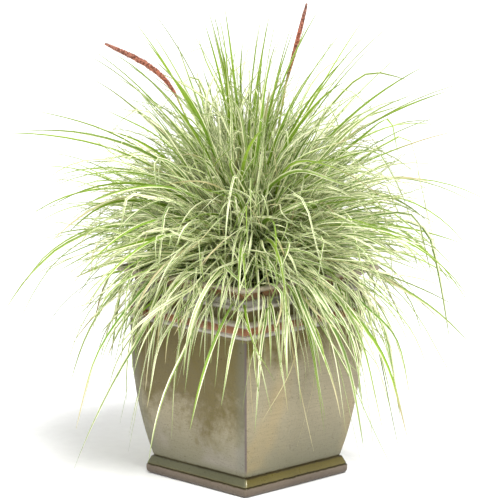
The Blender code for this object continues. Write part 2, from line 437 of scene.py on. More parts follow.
def glaze_bands(taupe, pale, clay):
    """(share of the height, colour) from the foot, up the walls, bead, band and neck to the lip."""
    dark = GLAZE_DARK
    return [
        (0.000, srgb(78, 68, 58)),
        (0.039, srgb(108, 96, 84)),
        (0.043, dark),
        (0.047, dark),
        (0.051, srgb(98, 90, 52)),
        (0.078, srgb(86, 77, 36)),
        (0.081, dark),
        (0.086, dark),
        (0.092, srgb(108, 105, 84)),
        (0.200, srgb(124, 118, 96)),
        (0.360, taupe),
        (0.560, taupe),
        # Darker olive below the bead: the glaze's tone, also painted shadow of the leaves above.
        (0.740, srgb(126, 115, 76)),
        (0.751, srgb(90, 80, 42)),
        (0.757, pale),
        (0.769, pale),
        (0.775, clay),
        (0.808, srgb(120, 76, 50)),
        (0.814, pale),
        (0.826, srgb(150, 142, 126)),
        (0.836, srgb(74, 64, 24)),
        (0.880, srgb(80, 70, 28)),
        (0.890, pale),
        (0.922, srgb(158, 154, 148)),
        (0.932, srgb(84, 70, 42)),
        (0.960, srgb(120, 82, 56)),
        (0.976, srgb(112, 98, 70)),
        (0.990, srgb(152, 142, 126)),
    ]


def glaze_material(settings):
    """Lustrous olive-taupe glaze: olive from the top down, partly painted shade, with painted reflections of
    the lights, pale over edges, bare clay on the band.
    """
    made = Nodes("glaze_finish")
    coords = made.object_coords()
    place = made.add("ShaderNodeSeparateXYZ", {"Vector": coords})
    far_x = made.math("ABSOLUTE", place.outputs["X"])
    far_y = made.math("ABSOLUTE", place.outputs["Y"])
    across = made.math("SUBTRACT", far_x, far_y)
    # This mask is 1 on the two walls that face along Y and 0 on the others; there it paints the dimmer left
    # face's shade and reflections: more olive, a grey foot, a cool sheen and a pale strip by the corner.
    thick = made.span(across, 0.004, -0.004)
    cloud = made.noise(coords, 8.0, 5, 0.62, 0.7)
    mottle = made.noise(coords, 70.0, 5, 0.65)
    grain = made.noise(coords, 380.0, 2, 0.6)
    brushed = made.noise(made.stretched(coords, (22.0, 22.0, 420.0)), 1.0, 3, 0.6)
    taupe, olive = tuple(settings.taupe), tuple(settings.olive)
    pale, clay = tuple(settings.pale), tuple(settings.terracotta)
    # The bands wander up and down by a millimetre or so.
    wander = made.math("MULTIPLY", made.math("SUBTRACT", mottle, 0.5), 0.005)
    height = made.math("DIVIDE", made.math("ADD", place.outputs["Z"], wander), settings.height)
    walls = made.ramp(height, glaze_bands(taupe, pale, clay))
    # On the two Y walls the foot chamfer turns grey-green instead of golden: a painted reflection.
    foot = made.math("SUBTRACT", 1.0, made.span(height, 0.080, 0.088))
    grey = made.math("MULTIPLY", made.math("MULTIPLY", foot, thick), made.span(height, 0.045, 0.055))
    colour = made.mix(made.math("MULTIPLY", grey, 0.75), walls, srgb(84, 86, 70))
    on_wall = made.math(
        "MULTIPLY", made.span(height, 0.09, 0.14), made.math("SUBTRACT", 1.0, made.span(height, 0.735, 0.752))
    )
    # Olive spreads from the top down, with a ragged lower edge: the glaze's own colour, partly painted shadow
    # under the leaves, and further down two of the sides as painted shade of the dimmer face.
    rise = made.math("ADD", made.math("MULTIPLY", height, 1.15), made.math("MULTIPLY", cloud, 0.9))
    rise = made.math("ADD", rise, made.math("MULTIPLY", thick, 0.40))
    rise = made.math("ADD", rise, made.math("MULTIPLY", made.math("SUBTRACT", mottle, 0.5), 0.34))
    olive_and_shade = made.span(rise, 1.08, 1.41)
    colour = made.mix(made.math("MULTIPLY", made.math("MULTIPLY", olive_and_shade, on_wall), 0.9), colour, olive)
    # Soft lighter patches are painted reflections of the studio lights, warm on the X walls and cool on the Y
    # walls; the same mask sets the metallic and is weaker where the olive lies.
    painted_reflection_and_metal = made.span(made.noise(coords, 5.0, 3, 0.5, 0.4), 0.48, 0.66)
    painted_reflection_and_metal = made.math("MULTIPLY", painted_reflection_and_metal, made.span(olive_and_shade, 0.0, 1.0, 1.0, 0.15))
    reflection_tint = made.mix(thick, srgb(158, 139, 98), srgb(150, 143, 138))
    colour = made.mix(made.math("MULTIPLY", made.math("MULTIPLY", painted_reflection_and_metal, on_wall), 0.5), colour, reflection_tint)
    colour = made.mix(made.span(brushed, 0.42, 0.68, 0.0, 0.16), colour, srgb(86, 80, 54))
    colour = made.mix(made.span(grain, 0.54, 0.70, 0.0, 0.34), colour, GLAZE_DARK)
    # Down each upright edge runs a dark line; beside it on the Y walls a pale cool strip is a painted
    # reflection.
    off = made.math("ABSOLUTE", across)
    corner_reflection = made.math("MULTIPLY", made.span(off, 0.036, 0.006), thick)
    corner_reflection = made.math("MULTIPLY", corner_reflection, on_wall)
    colour = made.mix(made.math("MULTIPLY", corner_reflection, 0.50), colour, srgb(98, 100, 88))
    edge = made.math("MULTIPLY", made.span(off, 0.0040, 0.0016), on_wall)
    colour = made.mix(made.math("MULTIPLY", edge, 0.8), colour, srgb(84, 72, 74))
    made.set(
        base_color=colour,
        roughness=made.span(mottle, 0.3, 0.7, 0.26, 0.46),
        metallic=made.math("MULTIPLY", painted_reflection_and_metal, 0.25),
    )
    made.shader.inputs["Coat Weight"].default_value = 0.24
    made.shader.inputs["Coat Roughness"].default_value = 0.10
    made.shader.inputs["Specular IOR Level"].default_value = 0.22
    fine = made.bump(grain, 0.14, 0.0006)
    lines = made.bump(brushed, 0.10, 0.0012, fine)
    made.set(normal=made.bump(mottle, 0.14, 0.0018, lines))
    return made.material


def leaf_material(name, settings, pale=1.0):
    """Green leaf with cream edges and streaks, fresher towards the tip, dry where it has withered."""
    made = Nodes(name)
    chart = made.add("ShaderNodeUVMap", uv_map="leaf").outputs["UV"]
    place = made.add("ShaderNodeSeparateXYZ", {"Vector": chart})
    across, along = place.outputs["X"], place.outputs["Y"]
    tint = made.attribute("tint")
    dryness = made.attribute("dryness")
    shifted = made.add("ShaderNodeCombineXYZ", {"X": across, "Y": along, "Z": tint}).outputs["Vector"]
    streak = made.noise(made.stretched(shifted, (9.0, 0.4, 60.0)), 1.0, 2, 0.5)
    vein = made.noise(made.stretched(shifted, (22.0, 0.5, 60.0)), 1.0, 1, 0.5)
    patch = made.noise(made.stretched(shifted, (1.0, 3.0, 80.0)), 1.0, 2, 0.5)
    lop = made.noise(made.stretched(shifted, (0.0, 0.8, 170.0)), 1.0, 1, 0.5)
    middle = made.span(lop, 0.35, 0.65, 0.32, 0.68, smooth=False)
    out = made.math("MULTIPLY", made.math("ABSOLUTE", made.math("SUBTRACT", across, middle)), 2.0)
    green, cream = tuple(settings.green), tuple(settings.cream)
    fresh, dry = tuple(settings.fresh), tuple(settings.withered)
    young = made.math("ADD", made.span(tint, 0.3, 0.9, 0.0, 0.6), made.span(along, 0.4, 1.0, 0.0, 0.4))
    hue = made.noise(made.stretched(shifted, (0.0, 0.0, 230.0)), 1.0, 1, 0.5)
    blade = made.mix(made.span(hue, 0.42, 0.58), srgb(106, 154, 66), green)
    blade = made.mix(young, blade, fresh)
    blade = made.mix(made.span(vein, 0.47, 0.56, 0.0, 0.80), blade, srgb(56, 78, 20))
    # The cream margins are narrower on greener leaves, and cream lines run down the paler ones.
    start = made.math("ADD", 0.20, made.math("MULTIPLY", made.math("SUBTRACT", patch, 0.5), 0.35))
    start = made.math("ADD", start, made.math("MULTIPLY", tint, 0.85))
    margin = made.span(made.math("SUBTRACT", out, start), -0.04, 0.04)
    line = made.math("MULTIPLY", made.span(streak, 0.55, 0.58), made.span(tint, 0.8, 0.4, 0.0, 0.9))
    white = made.math("MULTIPLY", made.math("MAXIMUM", margin, line), pale)
    colour = made.mix(white, blade, cream)
    # Darker and yellower towards the root as painted shade of the crowded base, straw at its very base,
    # greener at the tip, and some leaves darker all over as painted shade.
    colour = made.mix(made.span(along, 0.60, 0.05, 0.0, 0.7), colour, srgb(204, 212, 126), blend="MULTIPLY")
    colour = made.mix(made.span(along, 0.16, 0.0, 0.0, 0.6), colour, srgb(178, 180, 104))
    colour = made.mix(made.span(along, 0.72, 1.0, 0.0, 0.8), colour, srgb(108, 128, 58))
    shade = made.noise(made.stretched(shifted, (0.0, 0.0, 310.0)), 1.0, 1, 0.5)
    colour = made.mix(made.span(shade, 0.52, 0.66, 0.0, 0.36), colour, srgb(74, 92, 18))
    # A dry leaf has withered from its tip down, further the drier it is.
    rust = made.mix(made.span(patch, 0.35, 0.65), dry, srgb(158, 146, 100))
    edge = made.math("SUBTRACT", 1.35, made.math("MULTIPLY", dryness, 1.4))
    colour = made.mix(made.span(made.math("SUBTRACT", along, edge), -0.12, 0.08), colour, rust)
    made.set(base_color=colour, roughness=made.span(streak, 0.3, 0.7, 0.42, 0.58))
    made.shader.inputs["Specular IOR Level"].default_value = 0.35
    made.set(normal=made.bump(vein, 0.25, 0.0004))
    return made.material


def soil_material():
    """Dark, damp bark and peat."""
    made = Nodes("soil_finish")
    coords = made.object_coords()
    lumps = made.noise(coords, 120.0, 5, 0.7)
    stops = [(0.30, srgb(24, 18, 13)), (0.52, srgb(52, 39, 28)), (0.75, srgb(96, 74, 52))]
    colour = made.ramp(lumps, stops)
    made.set(base_color=colour, roughness=0.92)
    made.set(normal=made.bump(lumps, 0.8, 0.002))
    return made.material


def bark_material():
    made = Nodes("bark_finish")
    coords = made.object_coords()
    grain = made.noise(made.stretched(coords, (1.0, 1.0, 3.0)), 160.0, 3, 0.6)
    stops = [(0.30, srgb(46, 32, 22)), (0.55, srgb(92, 66, 44)), (0.78, srgb(138, 106, 74))]
    colour = made.ramp(grain, stops)
    made.set(base_color=colour, roughness=0.85)
    made.set(normal=made.bump(grain, 0.5, 0.001))
    return made.material


def sheath_material():
    """The mound of old leaf bases: straw and brown fibres running upwards."""
    made = Nodes("sheath_finish")
    coords = made.object_coords()
    fibre = made.noise(made.stretched(coords, (1.0, 1.0, 0.12)), 260.0, 3, 0.6)
    stops = [(0.32, srgb(44, 40, 20)), (0.55, srgb(98, 96, 48)), (0.78, srgb(160, 148, 92))]
    colour = made.ramp(fibre, stops)
    made.set(base_color=colour, roughness=0.8)
    made.set(normal=made.bump(fibre, 0.8, 0.003))
    return made.material


def stalk_material(name, settings):
    made = Nodes(name)
    coords = made.object_coords()
    fibre = made.noise(made.stretched(coords, (1.0, 1.0, 0.08)), 900.0, 2, 0.5)
    height = made.add("ShaderNodeSeparateXYZ", {"Vector": coords}).outputs["Z"]
    stalk = tuple(settings.stalk)
    colour = made.mix(made.span(fibre, 0.35, 0.65, 0.0, 0.6), stalk, srgb(120, 142, 60))
    colour = made.mix(made.span(height, 0.69, 0.76), colour, srgb(184, 150, 88))
    made.set(base_color=colour, roughness=0.5)
    made.set(normal=made.bump(fibre, 0.3, 0.0004))
    return made.material


def bristle_material(name, settings):
    """Florets and bristles: greenish tan where unripe, then brick and grey-brown, pink at the tips."""
    made = Nodes(name)
    mottle = made.noise(made.object_coords(), 230.0, 2, 0.7)
    out = made.attribute("outwards")
    mauve, pink = tuple(settings.mauve), tuple(settings.pink)
    colour = made.ramp(
        made.attribute("ripeness"),
        [
            (0.00, srgb(168, 160, 84)),
            (0.22, srgb(192, 146, 84)),
            (0.42, srgb(178, 100, 70)),
            (0.62, mauve),
            (1.00, srgb(128, 104, 96)),
        ],
    )
    colour = made.mix(out, colour, pink)
    colour = made.mix(made.span(mottle, 0.49, 0.55, 0.0, 0.72), colour, srgb(70, 38, 26))
    made.set(base_color=colour, roughness=0.7)
    made.set(normal=made.bump(mottle, 0.4, 0.0005))
    return made.material


def floor_material():
    made = Nodes("floor_finish")
    fine = made.noise(made.object_coords(), 40.0, 3, 0.5)
    colour = made.mix(made.span(fine, 0.3, 0.7), (0.93, 0.93, 0.92), (0.96, 0.96, 0.95))
    made.set(base_color=colour, roughness=0.85)
    return made.material


# ---------------------------------------------------------------- planter


def body_half(height):
    """Half the width of the bellied body at a height."""
    share = max(0.0, min(1.0, (height - BODY_BOTTOM) / (BODY_TOP - BODY_BOTTOM)))
    return BODY_HALF - BODY_TAPER * (1 - share) ** BODY_TAPER_POWER


def arc(centre, radius, first, last, steps):
    """(half width, height) points along an arc in the planter's profile; angles in degrees from outwards."""
    points = []
    for step in range(steps + 1):
        angle = math.radians(first + (last - first) * step / steps)
        points.append((centre[0] + radius[0] * math.cos(angle), centre[1] + radius[1] * math.sin(angle)))
    return points


def outer_profile():
    """(half width, height) up the outside, from the foot's underside to the top of the lip."""
    top = body_half(BODY_BOTTOM)
    foot = [(FOOT_HALF - 0.0060, 0.0)]
    foot += arc((FOOT_HALF - 0.0060, 0.0085), (0.0060, 0.0085), -80, 0, 7)
    foot += arc((FOOT_HALF - 0.0024, 0.0150), (0.0024, 0.0030), 0, 70, 4)
    groove = [(FOOT_HALF - 0.0026, 0.0186), (FOOT_HALF - 0.0014, 0.0194)]
    chamfer = [(FOOT_HALF - 0.0022, 0.0212), (top + 0.0030, BODY_BOTTOM - 0.0050)]
    chamfer += [(top + 0.0014, BODY_BOTTOM - 0.0034)]
    joint = [(top - 0.0012, BODY_BOTTOM - 0.0026), (top - 0.0008, BODY_BOTTOM - 0.0014)]
    body = []
    for step in range(BODY_STEPS + 1):
        height = BODY_BOTTOM + (BODY_TOP - BODY_BOTTOM) * (step / BODY_STEPS) ** 1.25
        body.append((body_half(height), height))
    bead = arc((BODY_HALF - 0.0004, BODY_TOP + 0.0036), (0.0024, 0.0032), -80, 80, 6)
    torus = arc((BODY_HALF - 0.0010, BODY_TOP + 0.0190), (0.0054, 0.0114), -82, 84, 10)
    neck = [(NECK_HALF, BODY_TOP + 0.0320), (NECK_HALF - 0.0012, BODY_TOP + 0.0400)]
    neck += [(NECK_HALF - 0.0006, COLLAR_BOTTOM - 0.0225), (NECK_HALF + 0.0008, COLLAR_BOTTOM - 0.0195)]
    shelf = arc((NECK_HALF + 0.0014, COLLAR_BOTTOM - 0.0150), (0.0026, 0.0036), -60, 50, 5)
    cove = arc((NECK_HALF + 0.0022, COLLAR_BOTTOM + 0.0010), (0.0074, 0.0130), 262, 188, 6)
    collar = arc((LIP_HALF - 0.0030, COLLAR_BOTTOM + 0.0005), (0.0250, 0.0165), 176, 100, 8)
    lip = arc((LIP_HALF - 0.0036, LIP_TOP - 0.0042), (0.0036, 0.0042), -60, 90, 8)
    return foot + groove + chamfer + joint + body + bead + torus + neck + shelf + cove + collar + lip


def inner_profile():
    """(half width, height) down the inside, from the lip to the floor."""
    lip = arc((LIP_HALF - 0.0085, LIP_TOP - 0.0042), (0.0036, 0.0042), 90, 170, 5)
    collar = arc((LIP_HALF - 0.0120, COLLAR_BOTTOM - 0.0030), (0.0250, 0.0205), 92, 178, 7)
    walls = [(NECK_HALF - WALL, SOIL_TOP - 0.012)]
    walls += [(body_half(height) - WALL, height) for height in np.linspace(BODY_TOP, 0.06, 9)]
    floor = [(body_half(BODY_BOTTOM) - WALL - 0.004, BODY_BOTTOM - 0.006)]
    floor += [(body_half(BODY_BOTTOM) - WALL - 0.013, FLOOR_TOP)]
    return lip + collar + walls + floor


def select_long_sides(obj):
    """Selects the four straight edges of a flat rounded square that is in edit mode."""
    bpy.ops.mesh.select_all(action="DESELECT")
    bpy.ops.object.mode_set(mode="OBJECT")
    for edge in obj.data.edges:
        first, second = (obj.data.vertices[index].co for index in edge.vertices)
        edge.select = (first - second).length > 0.05
    bpy.ops.object.mode_set(mode="EDIT")
    bpy.ops.mesh.select_mode(type="EDGE")


def step_up(before, after):
    """Extrudes the selected face from one (half width, height) of the profile to the next."""
    rise = after[1] - before[1]
    bpy.ops.mesh.extrude_region_move(TRANSFORM_OT_translate={"value": (0, 0, rise)})
    grow = after[0] / before[0]
    bpy.ops.transform.resize(value=(grow, grow, 1), center_override=(0, 0, after[1]))


def bore_drain(obj):
    """Cuts the round drain hole through the floor."""
    select_none()
    bpy.ops.mesh.primitive_cylinder_add(vertices=32, radius=DRAIN_RADIUS, depth=0.06, location=(0, 0, 0))
    cutter = bpy.context.object
    apply_modifier(obj, "BOOLEAN", operation="DIFFERENCE", object=cutter)
    bpy.data.objects.remove(cutter)


class GRASSCLUMP_OT_planter(bpy.types.Operator):
    """Model the square glazed planter"""

    bl_idname = "grass_clump.planter"
    bl_label = "Planter"

    def execute(self, context):
        settings = context.scene.planter_settings
        profile = outer_profile() + inner_profile()
        select_none()
        bpy.ops.mesh.primitive_plane_add(size=2 * profile[0][0], location=(0, 0, 0))
        planter = context.object
        bpy.ops.object.mode_set(mode="EDIT")
        bpy.ops.mesh.select_all(action="SELECT")
        bpy.ops.mesh.bevel(offset=CORNER_RADIUS, segments=CORNER_SEGMENTS, affect="VERTICES")
        select_long_sides(planter)
        bpy.ops.mesh.subdivide(number_cuts=SIDE_CUTS)
        bpy.ops.mesh.select_mode(type="FACE")
        bpy.ops.mesh.select_all(action="SELECT")
        for before, after in zip(profile, profile[1:]):
            step_up(before, after)
        bpy.ops.mesh.select_all(action="SELECT")
        bpy.ops.mesh.normals_make_consistent(inside=False)
        bpy.ops.object.mode_set(mode="OBJECT")
        bore_drain(planter)
        roughen(planter, "wall_clouds", 0.09, settings.unevenness)
        for vertex in planter.data.vertices:
            vertex.co.z = max(vertex.co.z, 0.0)
        finish = glaze_material(settings)
        settle(planter, "glazed_planter", finish, "planter", math.radians(32))
        return {"FINISHED"}


# ---------------------------------------------------------------- soil and crown


class GRASSCLUMP_OT_soil(bpy.types.Operator):
    """Model the soil and the bark chips on it"""

    bl_idname = "grass_clump.soil"
    bl_label = "Soil"

    def execute(self, context):
        half = SOIL_HIGH.x
        select_none()
        bpy.ops.mesh.primitive_cube_add(size=1, location=(0, 0, (SOIL_LOW.z + SOIL_TOP) / 2))
        soil = context.object
        bpy.ops.object.mode_set(mode="EDIT")
        bpy.ops.mesh.select_all(action="SELECT")
        deep = SOIL_TOP - SOIL_LOW.z
        bpy.ops.transform.resize(value=(2 * half - 0.002, 2 * half - 0.002, deep))
        bpy.ops.mesh.subdivide(number_cuts=31)
        bpy.ops.object.mode_set(mode="OBJECT")
        for vertex in soil.data.vertices:
            room = min(half, body_half(vertex.co.z + 0.01) - WALL - 0.002) / half
            vertex.co.x *= room
            vertex.co.y *= room
            if vertex.co.z > SOIL_TOP - 0.001:
                edge = max(abs(vertex.co.x), abs(vertex.co.y)) / half
                vertex.co.z -= 0.006 * edge**3
        roughen(soil, "soil_clouds", 0.012, 0.004, middle=0.6, direction="Z")
        settle(soil, "soil", soil_material(), "potting_soil")
        self.add_chips(half)
        return {"FINISHED"}

    def add_chips(self, half):
        """Bark chips strewn over the soil: one rough lump, copied with its own turn and size."""
        random = np.random.default_rng(11)
        select_none()
        bpy.ops.mesh.primitive_ico_sphere_add(subdivisions=1, radius=1)
        lump = bpy.context.object
        corners = np.array([vertex.co for vertex in lump.data.vertices])
        corners *= 1 + random.uniform(-0.25, 0.25, (len(corners), 1))
        sides = np.array([face.vertices for face in lump.data.polygons])
        bpy.data.objects.remove(lump)
        points, faces = [], []
        for index in range(CHIPS):
            place = Vector((*random.uniform(-half + 0.006, half - 0.006, 2), SOIL_TOP - 0.004))
            size = Matrix.Diagonal(random.uniform((0.0015, 0.001, 0.0006), (0.0060, 0.0032, 0.0018)))
            turn = Matrix.Rotation(random.uniform(0, 2 * math.pi), 3, Vector(random.normal(size=3)))
            shape = np.array(turn @ size)
            points.append(corners @ shape.T + np.array(place))
            faces.append(sides + index * len(corners))
        mesh = bpy.data.meshes.new("bark")
        mesh.from_pydata(np.concatenate(points), [], np.concatenate(faces))
        chips = bpy.data.objects.new("bark", mesh)
        bpy.context.scene.collection.objects.link(chips)
        settle(chips, "bark_chips", bark_material(), smooth=math.radians(20))


class GRASSCLUMP_OT_crown(bpy.types.Operator):
    """Model the mound of old leaf bases and the sheaths standing on it"""

    bl_idname = "grass_clump.crown"
    bl_label = "Root crown"

    def execute(self, context):
        select_none()
        bpy.ops.mesh.primitive_uv_sphere_add(segments=64, ring_count=40, radius=1, location=(0, 0, SOIL_TOP))
        mound = context.object
        bpy.ops.object.mode_set(mode="EDIT")
        bpy.ops.mesh.select_all(action="SELECT")
        wide = CROWN_RADIUS * 0.90
        tall = (CROWN_HIGH.z - SOIL_TOP) * 0.86
        bpy.ops.transform.resize(value=(wide, wide, tall), center_override=(0, 0, SOIL_TOP))
        bpy.ops.mesh.bisect(
            plane_co=(0, 0, SOIL_TOP - 0.006), plane_no=(0, 0, 1), clear_inner=True, use_fill=True
        )
        bpy.ops.object.mode_set(mode="OBJECT")
        bpy.ops.object.transform_apply(location=True, rotation=True, scale=True)
        roughen(mound, "crown_clouds", 0.02, 0.010)
        settle(mound, "root_crown_mound", sheath_material(), "root_crown")
        self.add_sheaths(context.scene.grass_settings)
        return {"FINISHED"}

    def add_sheaths(self, settings):
        """Short, broad leaf bases packed over the mound, pale at the root."""
        random = np.random.default_rng(settings.seed + 500)
        count = SHEATHS
        turn = random.uniform(0, 2 * math.pi, count)
        root = CROWN_RADIUS * 0.92 * np.sqrt(random.uniform(0.02, 1.0, count))
        lean = np.clip(root / CROWN_RADIUS, 0, 1) * 0.9 + random.normal(0, 0.12, count)
        length = random.uniform(0.06, 0.13, count)
        share = np.linspace(0, 1, 8)
        out = root[:, None] + length[:, None] * np.sin(lean)[:, None] * share**1.1
        rise = np.sqrt(np.clip(1 - (root / CROWN_RADIUS) ** 2, 0, 1)) * (CROWN_HIGH.z - SOIL_TOP) * 0.75
        up = SOIL_TOP - 0.004 + rise[:, None] + length[:, None] * np.cos(lean)[:, None] * share
        paths = np.stack([out * np.cos(turn)[:, None], out * np.sin(turn)[:, None], up], axis=2)
        grown = {
            "paths": paths,
            "turns": turn,
            "widths": random.uniform(0.004, 0.009, count),
            "tint": random.uniform(0.2, 0.8, count),
            "dryness": np.where(random.uniform(size=count) < 0.22, random.uniform(0.7, 1.0, count), 0.0),
            "rolls": random.normal(0, 0.5, count),
        }
        sheaths = leaves_object("sheaths", grown, blunt=True)
        finish = leaf_material("base_finish", settings, 0.5)
        settle(sheaths, "leaf_bases", finish, smooth=LEAF_CREASE)


# ---------------------------------------------------------------- leaves


def width_along(share, blunt):
    """Share of its full width that a leaf has along its length."""
    grow = 0.55 + 0.45 * np.clip(share / 0.22, 0, 1)
    if blunt:
        return grow * (1 - 0.6 * share)
    taper = np.clip((1 - share) / 0.55, 0, 1) ** 0.65
    return np.maximum(grow * taper, 0.06)


def draws(settings, piece):
    """The random draws of one piece, which stay the same however many other pieces there are."""
    return np.random.default_rng(settings.seed * 1000 + piece)


def leaves_object(name, grown, blunt=False):
    """One mesh of many leaves: each a thin keeled blade swept along its own path."""
    paths = grown["paths"]
    count, stations = paths.shape[:2]
    share = np.linspace(0, 1, stations)
    along = unit(np.gradient(paths, axis=1))
    turn = grown["turns"][:, None]
    level = np.stack([-np.sin(turn), np.cos(turn), np.zeros_like(turn)], axis=2) * np.ones((1, stations, 1))
    side = unit(level - along * np.sum(level * along, axis=2, keepdims=True))
    over = np.cross(along, side)
    roll = grown["rolls"][:, None] * (0.4 + 1.2 * share)
    side = side * np.cos(roll)[..., None] + over * np.sin(roll)[..., None]
    over = np.cross(along, side)
    half = (grown["widths"][:, None] / 2 * width_along(share, blunt))[..., None]
    thick = LEAF_THICKNESS / 2 * (0.25 + 0.75 * width_along(share, blunt))[None, :, None]
    lift = over * half * LEAF_KEEL
    left, right = paths - side * half + lift, paths + side * half + lift
    above, below = paths + over * thick, paths - over * thick
    points = np.stack([left, above, right, below], axis=2).reshape(-1, 3)
    faces, chart = leaf_faces(count, stations)
    mesh = bpy.data.meshes.new(name)
    mesh.from_pydata(points, [], faces)
    layer = mesh.uv_layers.new(name="leaf")
    layer.data.foreach_set("uv", chart.ravel())
    for title in ("tint", "dryness"):
        attribute = mesh.attributes.new(title, "FLOAT", "POINT")
        attribute.data.foreach_set("value", np.repeat(grown[title], stations * 4).astype(np.float32))
    obj = bpy.data.objects.new(name, mesh)
    bpy.context.scene.collection.objects.link(obj)
    return obj


def finish_leaves(name, grown, settings, node=None):
    """Makes grown leaves into a finished piece with the shared leaf finish."""
    finish = shared_finish("leaf_finish", leaf_material, settings)
    settle(leaves_object(name, grown), name, finish, node, LEAF_CREASE)


def leaf_faces(count, stations):
    """Quads round and along each leaf, with its two end caps, and their places across and along the leaf."""
    corner_across = (0.0, 0.5, 1.0, 0.5)
    quads, chart = [], []
    for station in range(stations - 1):
        for corner in range(4):
            after = (corner + 1) % 4
            here, ahead = station * 4, (station + 1) * 4
            quads.append((here + corner, here + after, ahead + after, ahead + corner))
            near, far = station / (stations - 1), (station + 1) / (stations - 1)
            first, second = corner_across[corner], corner_across[after]
            chart.append(((first, near), (second, near), (second, far), (first, far)))
    last = (stations - 1) * 4
    quads.append((3, 2, 1, 0))
    chart.append(tuple((corner_across[corner], 0.0) for corner in (3, 2, 1, 0)))
    quads.append((last, last + 1, last + 2, last + 3))
    chart.append(tuple((corner_across[corner], 1.0) for corner in range(4)))
    one = np.array(quads)
    every = (one[None] + np.arange(count)[:, None, None] * stations * 4).reshape(-1, 4)
    return every, np.tile(np.array(chart, np.float32), (count, 1, 1))


def tuft_reach(node):
    """(azimuth, root, tip) of a CAD tuft, the last two as (radius, height)."""
    places = np.array([vertex.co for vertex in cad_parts[node].data.vertices])
    radius = np.hypot(places[:, 0], places[:, 1])
    middle = places.mean(axis=0)
    azimuth = math.atan2(middle[1], middle[0])
    from_crown = np.hypot(radius, places[:, 2] - SOIL_TOP)
    root = from_crown.argmin()
    reach = np.hypot(radius - radius[root], places[:, 2] - places[root, 2])
    tip = reach.argmax()
    return azimuth, (radius[root], places[root, 2]), (radius[tip], places[tip, 2])


def sweep(roots, headings, slopes, bends, hooks, lengths, random, wander=1.0):
    """Paths of many leaves at once: each leaves its root, bends over and wanders a little."""
    count = len(roots)
    share = np.linspace(0, 1, LEAF_STATIONS)[None]
    shape = share ** hooks[:, None]
    lean = slopes[:, None] + bends[:, None] * (shape - 1 / (1 + hooks[:, None]))
    # A slow wave carries each leaf up, down and aside, more towards its tip.
    wave = random.uniform(0, 2 * math.pi, (count, 1)) + share * random.uniform(3, 8, (count, 1))
    lean = lean + random.normal(0, 0.16 * wander, (count, 1)) * np.sin(wave) * share
    turn = headings[:, None] + random.normal(0, 0.30 * wander, (count, 1)) * share
    turn = turn + random.normal(0, 0.16 * wander, (count, 1)) * np.cos(wave * 1.3) * share
    # Some leaves are folded over at one place.
    kinked = random.uniform(size=(count, 1)) < KINKED_SHARE * wander
    fold = np.clip((share - random.uniform(0.45, 0.8, (count, 1))) / 0.07, 0, 1)
    lean = lean + np.where(kinked, random.uniform(0.5, 1.9, (count, 1)), 0.0) * fold
    turn = turn + np.where(kinked, random.normal(0, 0.7, (count, 1)), 0.0) * fold
    lean = np.minimum(lean, STEEPEST_DROOP)
    # The path adds up its steps, and is stretched until its ends are as far apart as asked.
    steps = np.stack([np.sin(lean) * np.cos(turn), np.sin(lean) * np.sin(turn), np.cos(lean)], axis=2)
    travelled = np.cumsum((steps[:, 1:] + steps[:, :-1]) / 2, axis=1) / (LEAF_STATIONS - 1)
    unscaled = np.concatenate([np.zeros((count, 1, 3)), travelled], axis=1)
    chord = np.linalg.norm(unscaled[:, -1], axis=1)
    stretch = lengths / np.maximum(chord, 0.6)
    return roots[:, None] + unscaled * stretch[:, None, None]


def outer_limit(height):
    """Half the planter's width at each height, with room for a leaf."""
    profile = outer_profile()
    heights = [point[1] for point in profile]
    halves = [point[0] for point in profile]
    return np.interp(height, heights, halves) + WALL_GAP


def drape(paths, spare):
    """Lifts or pushes leaves off the planter and the soil, so that they lie over the rim."""
    share = np.linspace(0, 1, paths.shape[1])[None, :]
    for _ in range(3):
        out = np.maximum(np.abs(paths[..., 0]), np.abs(paths[..., 1]))
        below = paths[..., 2] < LIP_TOP + REST_GAP
        limit = outer_limit(paths[..., 2]) + spare[:, None]
        inside = below & (out < limit)
        # The outer part of a leaf moves out of the wall, and what lies nearer its root rises over the lip.
        push = inside & (out > RIM_START) & (share > 0.30)
        grow = np.where(push, limit / np.maximum(out, 1e-6), 1.0)
        paths[..., 0] *= grow
        paths[..., 1] *= grow
        lift = inside & ~push & (out > RIM_START)
        paths[..., 2] = np.where(lift, LIP_TOP + REST_GAP, paths[..., 2])
        # Inside the rim a leaf stays above the soil.
        buried = below & (out <= RIM_START) & (share > 0.12)
        paths[..., 2] = np.where(buried, np.maximum(paths[..., 2], SOIL_TOP + REST_GAP), paths[..., 2])
        smooth = (paths[:, :-2] + 2 * paths[:, 1:-1] + paths[:, 2:]) / 4
        paths[:, 1:-1] = np.where(below[:, 1:-1, None], smooth, paths[:, 1:-1])
    return paths


def on_crown(radius, turn, deep):
    """Points on the mound of the crown, sunk by deep."""
    share = np.sqrt(np.clip(1 - (radius / CROWN_RADIUS) ** 2, 0, 1))
    height = SOIL_TOP + share * (CROWN_HIGH.z - SOIL_TOP) - deep
    return np.stack([radius * np.cos(turn), radius * np.sin(turn), height], axis=1)


def keep_in_box(paths):
    """Draws in, as a whole, each leaf that would stray outside the object's own size."""
    reach = np.abs(paths[..., :2]).max(axis=(1, 2))
    paths[..., :2] *= np.minimum(1, (CAD_HIGH.x + SIDE_SLACK) / reach)[:, None, None]
    root = paths[:, :1, 2].copy()
    rise = paths[..., 2] - root
    tallest = np.maximum(rise.max(axis=1, keepdims=True), 1e-6)
    rise *= np.minimum(1, (CAD_HIGH.z + TOP_SLACK - root) / tallest)
    paths[..., 2] = np.maximum(root + rise, GROUND_CLEARANCE)
    return paths


